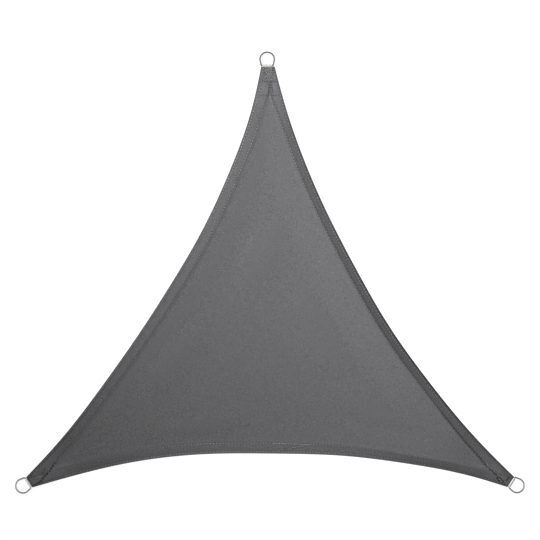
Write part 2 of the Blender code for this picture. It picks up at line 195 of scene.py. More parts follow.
# Webbing loop.
WEBBING_THICK = 1.2 * MM
WEBBING_WIDE = 40 * MM
RIBS = 14  # across each face of the webbing
RIB_DEEP = 0.06 * MM
SELVEDGE_STEPS = 5
TAIL_PLACES = (-60, -50, -40, -30, -22, -15, -10, -6, -3, -1.2)  # mm out of the cloth's end
TAIL_APART = 0.64 * MM  # a tail's middle is this far over or under the joint of the two
NECK = ((0.2, 0.64), (0.72, 1.2), (0.98, 2.05))  # mm out of the end, mm over the bar's axis
WRAP_DEG = 280  # the loop's turn round the bar
WRAP_STEPS = 28

# D-ring, and where its bar lies beyond the cloth's end.
WIRE_R = 3.75 * MM
WIRE_SIDES = 24
RING_WIDE = 66.5 * MM
RING_DEEP = 62 * MM
LEG_LEAN_DEG = 12.0
RING_BEND_R = 5.5 * MM
ARC_STEPS, BEND_STEPS, BAR_STEPS = 64, 8, 4
CROWN_CLEAR = 0.05 * MM  # under the round side, which droops to the surface
EYE_R = WIRE_R + 0.4 * MM
LOOP_R = EYE_R + WEBBING_THICK
LOOP_MID_R = EYE_R + WEBBING_THICK / 2
BAR_OUT = LOOP_R - 0.35 * MM  # the bar's axis, beyond the cloth's end
BAR_HIGH = LOOP_R + 0.3 * MM  # and over the surface
RING_ARC_R = RING_WIDE / 2 - WIRE_R
RING_ARC_OUT = RING_DEEP - 2 * WIRE_R - RING_ARC_R

# Corner build-up: the webbing's tails lie in a pocket between two layers of cloth.
# Pairs say where a form is full and where it has ended.
CORNER_HALF = 2.6 * MM  # half the thickness over the tails
SEAM_HALF = 1.7 * MM  # and beside them
BULGE_ACROSS = (20.5 * MM, 24.5 * MM)
BULGE_BEHIND = (60 * MM, 66 * MM)
THICK_BEHIND = (66 * MM, 108 * MM)
POCKET_HALF = 1.5 * MM  # half its height
POCKET_WIDE = 23.0 * MM  # half width of the pocket's mouth
POCKET_ACROSS = (20.8 * MM, POCKET_WIDE)
POCKET_BEHIND = (60.5 * MM, 62.5 * MM)
POCKET_DEEP = 63 * MM  # its lining is inside this
MOUTH_HALF = 19.8 * MM  # half width of the notch in the cloth's end
MOUTH_FADE = 2 * MM
TIP_FADE = 3 * MM  # a shoulder ends this near the end's own corner
CORNER_RISE = BAR_HIGH - CORNER_HALF
RISE_LONG = 120 * MM

# Stitches.
PITCH = 12.8 * MM
SEAM_PITCH = PITCH * 0.78  # in the seams inside the corners
STITCH_LONG = 7.4 * MM
STITCH_CLEAR = 5 * MM  # the long rows stop this near a corner's end or another edge
THREAD_R = 0.6 * MM
ARCH = 0.55 * MM
ARCH_ENDS, ARCH_TOP = -1.2, 2.4  # a thread's ends and middle, as shares of the arch
BACK_THREAD_R = 0.38 * MM  # at the back the thread is thinner and lies flatter
BACK_ARCH = 0.12 * MM
SWAY_LEAST, SWAY_MOST = (-0.04, -0.03, -0.10), (0.04, 0.03, 0.10)
SIZE_LEAST, SIZE_MOST = (0.88, 0.92, 0.85), (1.08, 1.08, 1.15)
DIMPLE = 0.55 * MM  # the cloth is drawn down this far at a needle hole
DIMPLE_BELOW = 0.5  # and up by this share of it underneath
DIMPLE_WIDE = 2.4 * MM
DIMPLE_MIDDLE = 0.2  # share of it under a stitch's middle
HOLE_SHADE_WIDE = 2.8 * MM  # painted shade round a needle hole
HOLE_SHADE_DARK = 0.70
SUNK_SHADE_WIDE = 3.7 * MM  # a dark stitch gets painted shade along its own length, as if sunk
SUNK_SHADE_DARK = 0.92
SUNK_SPAN = 0.4  # with its needle holes drawn together by this
DARK_THREAD = 0.15  # threads painted this dark or darker

# Mesh: rows along the hems as drawn offsets, and the spacing of the rest.
STEPS_PER_STITCH = 4
EDGE_READINGS = 4001  # along a side, to space its steps evenly
MESH_ROWS = (0.3, 1.0, 2.2, 5.0, 8.0, 11.0, 14.0, 18.0, 26.0, 33.0, 38.0, 41.0, 42.2, 44.0,
             48.0, 53.0, 53.6, 58.0, 65.0)
FINE_ROWS = (8.0, 11.0, 14.0, 26.0, 33.0, 38.0, 41.0, 44.0)  # with every step along them
THROUGH_ROW = 14.0  # rows up to this one run on through the corners
SAME_POINT = 1e-7
SHARP_CLOTH_DEG = 38  # edges sharper than this aren't smoothed
SHARP_STRAP_DEG = 50
ROW_CLEAR = 1.6 * MM  # rows of two sides stay this far apart
END_ROWS = (0.3, 1.0, 2.2)  # mm behind the corners' straight ends
END_STEP = 1.3 * MM
END_TRIM = 0.4  # mm by which each such row is shorter at both ends
CORNER_LONG = 140 * MM  # the fine mesh of a corner reaches this far in
CORNER_STEP = 2.4 * MM
CORNER_START = 3.8 * MM  # behind the end rows
CORNER_CLEAR = 1.7  # mm inside the last row that runs through
PANEL_STEP = 10.0 * MM
PANEL_CLEAR = 0.7  # of a step, inside the last row
PANEL_GAP = 4 * MM  # between it and a corner's fine mesh
PANEL_HALF = 1.05  # half of the square that holds the panel, in metres


def unit(vector):
    return vector / np.linalg.norm(vector)


def left_of(vector):
    return np.array((-vector[1], vector[0]))


def fade(value, start, end):
    """0 at start, 1 at end, with a soft run between."""
    share = np.clip((value - start) / (end - start), 0.0, 1.0)
    return share * share * (3.0 - 2.0 * share)


# ---- plan of the sail
def facing(corner):
    angle = math.radians(corner.facing_deg)
    return np.array((math.cos(angle), math.sin(angle)))


def ring_middle(corner):
    out = facing(corner)
    reach = out * (BAR_OUT + RING_ARC_OUT)
    return np.array((corner.x, corner.y)) + reach + left_of(out) * corner.ring_shift


def footprint_middle():
    left, right, top = (ring_middle(corner) for corner in CORNERS)
    return np.array(((left[0] + right[0]) / 2, (top[1] + min(left[1], right[1])) / 2))


MIDDLE = footprint_middle()


def corner_end(corner):
    return np.array((corner.x, corner.y)) - MIDDLE


def corner_place(corner, behind, across):
    """The point in plan that far behind the corner's end, and across it."""
    out = facing(corner)
    return corner_end(corner) - out * behind + left_of(out) * across


def side_ends():
    """Start and end point of each side, in the order of SIDES."""
    out = []
    for index in range(3):
        start, stop = CORNERS[index], CORNERS[(index + 1) % 3]
        out.append((corner_place(start, 0.0, start.width / 2), corner_place(stop, 0.0, -stop.width / 2)))
    return out


ENDS = side_ends()


def bow(side, share):
    """How far the edge bows inward at a share of the side, and its slope."""
    depth = 0.0
    slope = 0.0
    for count, height in enumerate(side.waves, start=1):
        turn = count * math.pi
        depth = depth + height * MM * np.sin(turn * share)
        slope = slope + height * MM * turn * np.cos(turn * share)
    return depth, slope


def chord_of(index):
    """A side's start point, its chord's length, and the ways along and across it."""
    begin, end = ENDS[index]
    along = unit(end - begin)
    return begin, np.linalg.norm(end - begin), along, left_of(along)


def side_points(index, shares, inward):
    """Points at shares of the side, a distance inward from its edge, and the way inward."""
    begin, chord, along, across = chord_of(index)
    depth, slope = bow(SIDES[index], shares)
    edge = begin + np.outer(shares * chord, along) + np.outer(depth, across)
    run = along + np.outer(slope / chord, across)
    run /= np.linalg.norm(run, axis=1)[:, None]
    inner = np.stack((-run[:, 1], run[:, 0]), axis=1)
    return edge + inner * np.reshape(inward, (-1, 1)), inner


def side_reading(index, points):
    """For points in plan: their share along the side and distance inside its edge."""
    begin, chord, along, across = chord_of(index)
    share = (points - begin) @ along / chord
    depth, slope = bow(SIDES[index], np.clip(share, 0.0, 1.0))
    return share, ((points - begin) @ across - depth) / np.hypot(1.0, slope / chord)


def corner_reading(corner, points):
    """For points in plan: how far behind the corner's end, and how far across it."""
    out = facing(corner)
    local = points - corner_end(corner)
    return -(local @ out), local @ left_of(out)


def end_line(corner, across):
    """How far the cloth's end stands out at a place across it: notched between two shoulders."""
    beyond = fade(np.abs(across - corner.loop_shift), MOUTH_HALF, MOUTH_HALF + MOUTH_FADE)
    shoulder = np.where(across > corner.loop_shift, corner.shoulder_left, corner.shoulder_right)
    tip = 1.0 - fade(np.abs(across), corner.width / 2 - TIP_FADE, corner.width / 2)
    return shoulder * beyond * tip - corner.notch * (1.0 - beyond)


def end_reading(corner, points):
    """As corner_reading, with the distance taken from the notched end."""
    behind, across = corner_reading(corner, points)
    return behind + end_line(corner, across), across


def even_shares(index):
    """Shares of the side, equally far apart along its edge, a few to each stitch."""
    fine = np.linspace(0.0, 1.0, EDGE_READINGS)
    points, _ = side_points(index, fine, 0.0)
    run = np.concatenate(([0.0], np.cumsum(np.hypot(*np.diff(points, axis=0).T))))
    steps = int(round(run[-1] / PITCH)) * STEPS_PER_STITCH
    return np.interp(np.linspace(0.0, run[-1], steps + 1), run, fine)


def column(points, name, shares):
    """A column of one side's table, read at shares of the side."""
    return np.interp(shares, [point.share for point in points], [getattr(point, name) for point in points])


def rows_at(index, shares):
    """How far inside the edge the two rows of stitches lie, in mm."""
    return [column(rows[index], "offset", shares) for rows in (OUTER_ROWS, INNER_ROWS)]


def moved(offset, rows, places):
    """An offset moved along with the two rows, from where they are to other places."""
    (outer, inner), (outer_place, inner_place) = rows, places
    edge = offset * outer_place / outer
    band = outer_place + (offset - outer) * (inner_place - outer_place) / (inner - outer)
    return np.where(offset < outer, edge, np.where(offset < inner, band, offset - inner + inner_place))


def placed_offset(index, shares, drawn):
    """A drawn section offset, in mm, as it lies where the rows wander."""
    return moved(drawn, DRAWN_ROWS, rows_at(index, shares))


def drawn_offset(index, shares, placed):
    """The other way round: from a real offset in mm to the drawn section's."""
    return moved(placed, rows_at(index, shares), DRAWN_ROWS)


# ---- heights of the sail
def corner_rise(behind):
    return CORNER_RISE * np.clip(1.0 - np.maximum(behind, 0.0) / RISE_LONG, 0.0, 1.0) ** 2


def swell_height(points):
    total = np.zeros(len(points))
    for swell in SWELLS:
        angle = math.radians(swell.along_deg)
        along = np.array((math.cos(angle), math.sin(angle)))
        local = points - np.array((swell.x, swell.y))
        far = (local @ along / swell.half_length) ** 2 + (local @ left_of(along) / swell.half_width) ** 2
        rise = (np.exp(-far) - SWELL_FOOT) / (1.0 - SWELL_FOOT)
        total = np.maximum(total, swell.height * np.maximum(rise, 0.0))
    return total


def pucker_height(index, share, inside, row):
    """Small folds drawn across the band, one to a stitch, leaning with the thread."""
    run = share * chord_of(index)[1] * BOW_LONGER
    wave = np.cos(2 * math.pi * (run + PUCKER_LEAN * inside) / PITCH)
    height = column(INNER_ROWS[index], "pucker", share) * MM
    within = fade(inside, 0.25 * row, 0.75 * row) * (1.0 - fade(inside, row, row + PUCKER_FADE))
    return height * (0.5 + 0.5 * wave) * within


def ground(points):
    """Height that the cloth's underside is carried at over the surface."""
    height = swell_height(points)
    clear = np.ones(len(points))
    lifted = np.zeros(len(points))
    for corner in CORNERS:
        behind, across = corner_reading(corner, points)
        clear *= fade(np.hypot(behind, across), RIDGE_NONE, RIDGE_FULL)
        lifted += corner_rise(behind) * (np.abs(across) < RISE_LONG)
    for index, side in enumerate(SIDES):
        share, inside = side_reading(index, points)
        row = rows_at(index, share)[1] * MM
        near = np.exp(-(((share - side.ridge_at) / side.ridge_spread) ** 2))
        rise = np.clip(inside / row, 0.0, 1.0) ** RIDGE_POWER
        curl = side.roll * (near if side.roll > 0 else 1.0)
        rolled = curl * fade(inside, 0.0, ROLL_WIDE) + max(0.0, -side.roll)
        section = (RIDGE_BASE + side.ridge * near) * rise + rolled
        section *= 1.0 - fade(inside, row - 2 * MM, row + side.ridge_run)
        height = np.maximum(height, section * clear) + pucker_height(index, share, inside, row)
    return height + lifted


Layers = namedtuple("Layers", "over under ceiling floor offset side")


def layers(points, dimple):
    """Heights of the cloth's face and underside, and of the pocket inside each corner."""
    readings = [side_reading(index, points) for index in range(3)]
    side = np.argmin([inside for _, inside in readings], axis=0)
    rim = np.min([inside for _, inside in readings], axis=0)
    offset = np.zeros(len(points))
    for index, (share, inside) in enumerate(readings):
        offset = np.where(side == index, drawn_offset(index, share, inside / MM), offset)
    base = ground(points)
    drawn = [line.offset for line in HEM_SECTION]
    raised = dimple * DIMPLE_BELOW
    low = base + np.interp(offset, drawn, [line.under * MM for line in HEM_SECTION]) + raised
    high = base + np.interp(offset, drawn, [line.over * MM for line in HEM_SECTION]) - dimple
    middle = (low + high) / 2
    mouth = np.zeros(len(points))
    for corner in CORNERS:
        behind, across = corner_reading(corner, points)
        near = (np.abs(across) < RISE_LONG) & (behind < RISE_LONG)
        share = (1.0 - fade(behind, *THICK_BEHIND)) * near
        beside = np.abs(across - corner.loop_shift)
        bulge = (1.0 - fade(beside, *BULGE_ACROSS)) * (1.0 - fade(behind, *BULGE_BEHIND))
        half = SEAM_HALF + (CORNER_HALF - SEAM_HALF) * bulge
        centre = CORNER_HALF + corner_rise(behind)
        high = high + share * (centre + half - dimple - high)
        low = low + share * (centre - half + raised - low)
        middle = middle + share * (centre - middle)
        opening = (1.0 - fade(beside, *POCKET_ACROSS)) * (1.0 - fade(behind, *POCKET_BEHIND)) * near
        mouth = np.maximum(mouth, opening)
        rim = np.where(near, np.minimum(rim, behind + end_line(corner, across)), rim)
    ceiling = middle + POCKET_HALF * mouth
    floor = middle - POCKET_HALF * mouth
    turn = np.sqrt(1.0 - (1.0 - np.clip(rim / RIM_ROUND, 0.0, 1.0)) ** 2)
    upper = middle + mouth * ((ceiling + high) / 2 - middle)
    lower = middle + mouth * ((floor + low) / 2 - middle)
    sheets = ((upper, high), (lower, low), (upper, ceiling), (lower, floor))
    return Layers(*(edge + (sheet - edge) * turn for edge, sheet in sheets), offset, side)


# ---- the cloth's mesh
def needle_marks(stitches, points):
    """How far the cloth is drawn down at each point, and how dark the painted shade round its needle holes
    is there.
    """
    holes = KDTree(2 * len(stitches))
    for index, stitch in enumerate(stitches):
        middle = np.array((stitch.x, stitch.y))
        reach = np.array((stitch.along_x, stitch.along_y)) * STITCH_LONG / 2
        if stitch.tone < DARK_THREAD:
            reach = reach * SUNK_SPAN
        holes.insert((*(middle - reach), 0.0), 2 * index)
        holes.insert((*(middle + reach), 0.0), 2 * index + 1)
    holes.balance()
    drawn, painted_hole_shade = np.zeros(len(points)), np.zeros(len(points))
    for place, point in enumerate(points):
        _, index, far = holes.find((point[0], point[1], 0.0))
        stitch = stitches[index // 2]
        wide, dark = (SUNK_SHADE_WIDE, SUNK_SHADE_DARK) if stitch.tone < DARK_THREAD else (HOLE_SHADE_WIDE, HOLE_SHADE_DARK)
        drawn[place] = DIMPLE * math.exp(-((far / DIMPLE_WIDE) ** 2))
        painted_hole_shade[place] = dark * stitch.mark * math.exp(-((far / wide) ** 2))
    return drawn, painted_hole_shade


def end_steps(corner):
    return 2 * int(corner.width / END_STEP / 2)


def outline():
    """Points round the cloth's edge, anticlockwise: each side, then the end of the next corner."""
    points = []
    for index in range(3):
        found, _ = side_points(index, even_shares(index)[::2], 0.0)
        points.extend(found)
        stop = CORNERS[(index + 1) % 3]
        count = end_steps(stop)
        for step in range(1, count):
            across = (step / count - 0.5) * stop.width
            points.append(corner_place(stop, -end_line(stop, across), across))
    return np.array(points)


def insides(points):
    return np.array([side_reading(index, points)[1] for index in range(3)])


def behinds(points):
    return np.min([end_reading(corner, points)[0] for corner in CORNERS], axis=0)


def in_corner(points):
    found = np.zeros(len(points), bool)
    for corner in CORNERS:
        behind, across = corner_reading(corner, points)
        found |= (behind < CORNER_LONG) & (np.abs(across) < CORNER_LONG)
    return found


def hem_points():
    """Rows along the hems, each only where its own side is the nearest."""
    points = []
    for index in range(3):
        every = even_shares(index)
        for row in MESH_ROWS:
            shares = every[:: 1 if row in FINE_ROWS else 2]
            offset = placed_offset(index, shares, row) * MM
            found, _ = side_points(index, shares, offset)
            others = np.delete(insides(found), index, axis=0).min(axis=0)
            keep = others > offset + min(ROW_CLEAR, row * MM)
            keep &= behinds(found) > max(2.0, 0.8 * row) * MM
            if row > THROUGH_ROW:
                keep &= ~in_corner(found)
            points.append(found[keep])
    return np.concatenate(points)


def end_points():
    """Rows along the corners' straight ends, behind their round fronts."""
    points = []
    for corner in CORNERS:
        for behind in END_ROWS:
            half = corner.width / 2 - (behind + END_TRIM) * MM
            for across in np.linspace(-half, half, end_steps(corner) + 1):
                points.append(corner_place(corner, behind * MM - end_line(corner, across), across))
    return np.array(points)


def staggered(middle, half, step):
    """A square of points in rows that are set off from each other by half a step."""
    row_step = step * math.sqrt(3) / 2
    rows = int(half / row_step)
    columns = int(half / step)
    across, up = np.meshgrid(np.arange(-columns, columns + 1), np.arange(-rows, rows + 1))
    found = np.stack(((across + 0.5 * (up % 2)) * step, up * row_step), axis=-1).reshape(-1, 2)
    return found + middle


def corner_points():
    out = []
    for corner in CORNERS:
        found = staggered(corner_end(corner), CORNER_LONG * 1.5, CORNER_STEP)
        behind, across = end_reading(corner, found)
        near = (behind > CORNER_START) & (behind < CORNER_LONG) & (np.abs(across) < CORNER_LONG)
        for index in range(3):
            share, inside = side_reading(index, found)
            near &= inside > (placed_offset(index, share, THROUGH_ROW) + CORNER_CLEAR) * MM
        out.append(found[near])
    return np.concatenate(out)


def panel_points():
    found = staggered(np.zeros(2), PANEL_HALF, PANEL_STEP)
    clear = np.ones(len(found), bool)
    for index in range(3):
        share, inside = side_reading(index, found)
        clear &= inside > placed_offset(index, share, MESH_ROWS[-1]) * MM + PANEL_STEP * PANEL_CLEAR
    for corner in CORNERS:
        behind, across = corner_reading(corner, found)
        clear &= ~((behind < CORNER_LONG + PANEL_GAP) & (np.abs(across) < CORNER_LONG))
    return found[clear]


def turned_grain(points, heights):
    """Plan places by the cloth's own grain: mirrored about the edge where the hem is turned under."""
    found = points
    for index in range(3):
        share, inside = side_reading(index, points)
        _, inner = side_points(index, np.clip(share, 0.0, 1.0), 0.0)
        turned = (heights.side == index) & (heights.offset < HEM_WIDE + 0.2)
        found = np.where(turned[:, None], points - inner * (2 * inside)[:, None], found)
    return found


def face_edges(face):
    return [frozenset(pair) for pair in zip(face, face[1:] + face[:1])]


def pocket_lining(faces, in_pocket, on_edge):
    """The faces that line the pockets, and the points where a lining's two sheets meet."""
    kept = [face for face in faces if all(in_pocket[i] for i in face)]
    while True:
        uses = Counter(edge for face in kept for edge in face_edges(face))
        inner = [edge for edge, count in uses.items() if count == 1 and not all(on_edge[i] for i in edge)]
        pinched = {i for edge in inner for i in edge}
        chords = {edge for edge, count in uses.items() if count == 2 and edge <= pinched}
        sound = [face for face in kept if chords.isdisjoint(face_edges(face))]
        if len(sound) == len(kept):
            return kept, pinched
        kept = sound


def build_cloth(material, stitches):
    edge = outline()
    points = np.concatenate((edge, hem_points(), end_points(), corner_points(), panel_points()))
    _, _, faces, origins, _, _ = delaunay_2d_cdt(
        [Vector((float(x), float(y))) for x, y in points], [], [list(range(len(edge)))], 1, SAME_POINT)
    plan = points[[found[0] for found in origins]]
    on_edge = np.array([min(found) < len(edge) for found in origins])
    drawn, painted_hole_shade = needle_marks(stitches, plan)
    heights = layers(plan, np.where(on_edge, 0.0, drawn))
    in_pocket = np.zeros(len(plan), bool)
    for corner in CORNERS:
        behind, across = corner_reading(corner, plan)
        in_pocket |= (np.abs(across - corner.loop_shift) < POCKET_WIDE) & (behind < POCKET_DEEP)
    pocket_faces, pinched = pocket_lining(faces, in_pocket, on_edge)
    bm = bmesh.new()
    over, under, ceiling, floor = {}, {}, {}, {}
    places = []

    def vertex(place, height):
        places.append(place)
        return bm.verts.new((plan[place][0], plan[place][1], height))

    for place in range(len(plan)):
        over[place] = vertex(place, heights.over[place])
        under[place] = over[place] if on_edge[place] else vertex(place, heights.under[place])
    for place in sorted({i for face in pocket_faces for i in face}):
        if on_edge[place] and place not in pinched:
            under[place] = vertex(place, heights.under[place])
            ceiling[place], floor[place] = over[place], under[place]
        elif on_edge[place]:
            ceiling[place] = floor[place] = over[place]
        else:
            ceiling[place] = vertex(place, heights.ceiling[place])
            floor[place] = ceiling[place] if place in pinched else vertex(place, heights.floor[place])
    for face in faces:
        bm.faces.new([over[i] for i in face])
        bm.faces.new([under[i] for i in reversed(face)])
    for face in pocket_faces:
        bm.faces.new([ceiling[i] for i in reversed(face)])
        bm.faces.new([floor[i] for i in face])
    bmesh.ops.triangulate(bm, faces=bm.faces)
    mesh = bpy.data.meshes.new("sail_sheet")
    bm.to_mesh(mesh)
    bm.free()
    # painted light and shade of the hems and corners, times painted shade round the needle holes
    shade = painted_cloth_light(plan, heights) * (1.0 - painted_hole_shade)
    paint_cloth(mesh, plan[places], turned_grain(plan, heights)[places], shade[places])
    mesh.materials.append(material)
    mesh.shade_smooth()
    mesh.set_sharp_from_angle(angle=math.radians(SHARP_CLOTH_DEG))
    return link("sail_sheet", mesh)


def painted_cloth_light(points, heights):
    """Painted light and shade of the cloth at each point beside the single panel, near the corners and at
    the ends.
    """
    shade = np.ones(len(points))
    for index, tones in enumerate(HEM_PAINTED_LIGHT):
        share, _ = side_reading(index, points)
        tone = column(tones, "edge", share)
        for name, start, end in TONE_STEPS:
            tone = tone + (column(tones, name, share) - tone) * fade(heights.offset, start, end)
        tone = tone + (1.0 - tone) * fade(heights.offset, HEM_WIDE - 0.5, HEM_WIDE + 1.0)
        shade = np.where(heights.side == index, tone, shade)
    # painted light near each corner, and painted shade on its folded end
    for corner in CORNERS:
        behind, across = end_reading(corner, points)
        close = 1.0 - fade(np.hypot(behind, across), CORNER_TONE_NEAR, CORNER_TONE_FAR)
        shade = shade * (1.0 + (corner.cloth_tone - 1.0) * close)
        near = (behind < END_EDGE[1]) & (np.abs(across) < corner.width)
        shade = np.where(near, shade * (END_SHADE + (1.0 - END_SHADE) * fade(behind, *END_EDGE)), shade)
    return shade


def paint_cloth(mesh, grain_over, grain_under, shade):
    """The grain as a UV map, and the painted light and shade of the hems, corners and needle holes."""
    corners = np.zeros(len(mesh.loops), np.int32)
    mesh.loops.foreach_get("vertex_index", corners)
    normals = np.zeros(len(mesh.polygons) * 3)
    mesh.polygons.foreach_get("normal", normals)
    down = np.repeat(normals.reshape(-1, 3)[:, 2] < 0, 3)
    grain = np.where(down[:, None], grain_under[corners], grain_over[corners])
    uv = mesh.uv_layers.new(name="grain")
    uv.data.foreach_set("uv", grain.astype(np.float32).ravel())
    painted = mesh.attributes.new("shade", "FLOAT", "POINT")
    painted.data.foreach_set("value", shade.astype(np.float32))


def link(name, data):
    thing = bpy.data.objects.new(name, data)
    bpy.context.scene.collection.objects.link(thing)
    return thing


# ---- stitches
# Seams inside the corners, in mm behind the end and across it, the thread's painted
# highlight or shade, and how dark the painted shade round their needle holes is.
Seam = namedtuple("Seam", "start stop tone mark")
CORNER_SEAMS = {
    "top": table(
        Seam, ((5, -17), (58, -17), 1.1, 0.9), ((5, 21), (58, 21), 0.8, 1),
        ((6, -16), (57, 20), 1, 1), ((6, 20), (57, -16), 1, 1), ((3, -17), (3, 21), 0.2, 1),
        ((62, -36), (62, 33), 0.3, 1), ((118, -46), (118, 36), 0.2, 0.6),
        ((66, -14), (118, -2), 0.5, 1), ((76, -15), (108, -21), 0.3, 1)),
    "left": table(
        Seam, ((5, -17), (58, -17), 0.3, 0.5), ((8, -10), (8, 18), 0.6, 0.9),
        ((31, -20), (31, 7), 0.9, 0.3), ((40, -24), (40, 8), 0.9, 0.3), ((50, -29), (50, 8), 0.9, 0.3),
        ((88, -28), (95, 5), 0.8, 0.7), ((60, -2), (84, -12), 0.2, 0.8), ((60, 10), (96, 4), 0.2, 1)),
    "right": table(
        Seam, ((60, -16), (38, -23), 0, 1), ((50, -10), (22, -17), 0, 1),
        ((56, -12), (28, -20), 0.9, 0.2), ((18, -6), (17, 13), 0, 1), ((105, -7), (91, -2), 0, 1),
        ((91, -2), (72, -8), 0, 1), ((5, 18), (58, 18), 0.3, 0.4), ((112, 6), (130, 14), 0.8, 0.3)),
}
# Where the bottom hem's thread starts again: a slanting run and a doubled inner row.
# the last two columns are the thread's painted highlight or shade and the painted shade round its needle
# holes
Restart = namedtuple("Restart", "side share offset stop_share stop_offset tone mark")
RESTARTS = table(
    Restart,
    (0, 0.532, 17.0, 0.574, 38.0, 0.75, 0.9),
    (0, 0.545, 26.0, 0.572, 34.0, 0.9, 0.9),
    (0, 0.506, 44.0, 0.584, 39.5, 1.0, 0.5),
)
# its last two values are the thread's painted highlight or shade and the painted shade round its holes
Stitch = namedtuple("Stitch", "x y along_x along_y tone mark")


def row_stitches(index, rows, drawn):
    """The stitches of one long row, at a drawn offset, as its table says along the side."""
    shares = even_shares(index)
    middles = np.arange(2, len(shares) - 1, STEPS_PER_STITCH)
    before, after = (side_points(index, at, placed_offset(index, at, drawn) * MM)[0]
                     for at in (shares[middles - 1], shares[middles + 1]))
    tones = column(rows[index], "tone", shares[middles])
    marks = column(rows[index], "mark", shares[middles])
    found = []
    for tone, mark, a, b in zip(tones, marks, before, after):
        middle = (a + b) / 2
        clear = min(corner_reading(corner, middle[None])[0][0] for corner in CORNERS)
        if min(clear, insides(middle[None]).min()) >= STITCH_CLEAR:
            found.append(Stitch(*middle, *unit(b - a), float(tone), float(mark)))
    return found


def line_stitches(start, stop, tone, mark):
    length = np.linalg.norm(stop - start)
    count = max(1, int(round(length / SEAM_PITCH)))
    along = unit(stop - start)
    return [Stitch(*(start + along * length * (k + 0.5) / count), *along, tone, mark) for k in range(count)]


def all_stitches():
    found = []
    for index in range(3):
        for rows, drawn in zip((OUTER_ROWS, INNER_ROWS), DRAWN_ROWS):
            found += row_stitches(index, rows, drawn)
    for name, seams in CORNER_SEAMS.items():
        corner = next(c for c in CORNERS if c.name == name)
        for seam in seams:
            start, stop = (corner_place(corner, behind * MM, across * MM)
                           for behind, across in (seam.start, seam.stop))
            found += line_stitches(start, stop, seam.tone, seam.mark)
    for run in RESTARTS:
        start, _ = side_points(run.side, np.array([run.share]), run.offset * MM)
        stop, _ = side_points(run.side, np.array([run.stop_share]), run.stop_offset * MM)
        found += line_stitches(start[0], stop[0], run.tone, run.mark)
    return found


def stitch_spots(stitches, upper):
    """A mesh of loose points, one a stitch, with the run of its thread and its painted highlight or shade.
    """
    plan = np.array([(s.x, s.y) for s in stitches])
    along = np.array([(s.along_x, s.along_y) for s in stitches])
    tone = np.array([s.tone for s in stitches])
    heights = []
    for step, share in ((-0.5, 1.0), (0.0, DIMPLE_MIDDLE), (0.5, 1.0)):
        read = layers(plan + along * STITCH_LONG * step, np.full(len(plan), DIMPLE * share))
        heights.append(read.over if upper else read.under)
    before, middle, after = heights
    run = np.column_stack((along, (after - before) / STITCH_LONG))
    run /= np.linalg.norm(run, axis=1)[:, None]
    mesh = bpy.data.meshes.new("stitch_spots")
    mesh.vertices.add(len(plan))
    mesh.vertices.foreach_set("co", np.column_stack((plan, middle)).astype(np.float32).ravel())
    for name, kind, value, key in (("run", "FLOAT_VECTOR", run, "vector"), ("tone", "FLOAT", tone, "value")):
        attribute = mesh.attributes.new(name, kind, "POINT")
        attribute.data.foreach_set(key, value.astype(np.float32).ravel())
    return link("stitch_spots", mesh)


def add_node(tree, kind, inputs=(), **settings):
    """A node with its settings made, and its inputs set or linked to a socket or a node."""
    node = tree.nodes.new(kind)
    for name, value in settings.items():
        setattr(node, name, value)
    for name, value in dict(inputs).items():
        if isinstance(value, bpy.types.Node):
            value = value.outputs[0]
        if isinstance(value, bpy.types.NodeSocket):
            tree.links.new(value, node.inputs[name])
        else:
            node.inputs[name].default_value = value
    return node


def math_node(tree, operation, *values):
    return add_node(tree, "ShaderNodeMath", dict(enumerate(values)), operation=operation).outputs[0]


def new_group(name, kind, main_input, values, results):
    """A node group with a main input and some values. Gives it and its entry's sockets."""
    tree = bpy.data.node_groups.new(name, kind)
    add = tree.interface.new_socket
    add(main_input[0], in_out="INPUT", socket_type=main_input[1])
    for label, value in values.items():
        add(label, in_out="INPUT", socket_type="NodeSocketFloat").default_value = value
    for label, what in results.items():
        add(label, in_out="OUTPUT", socket_type=what)
    return tree, tree.nodes.new("NodeGroupInput").outputs


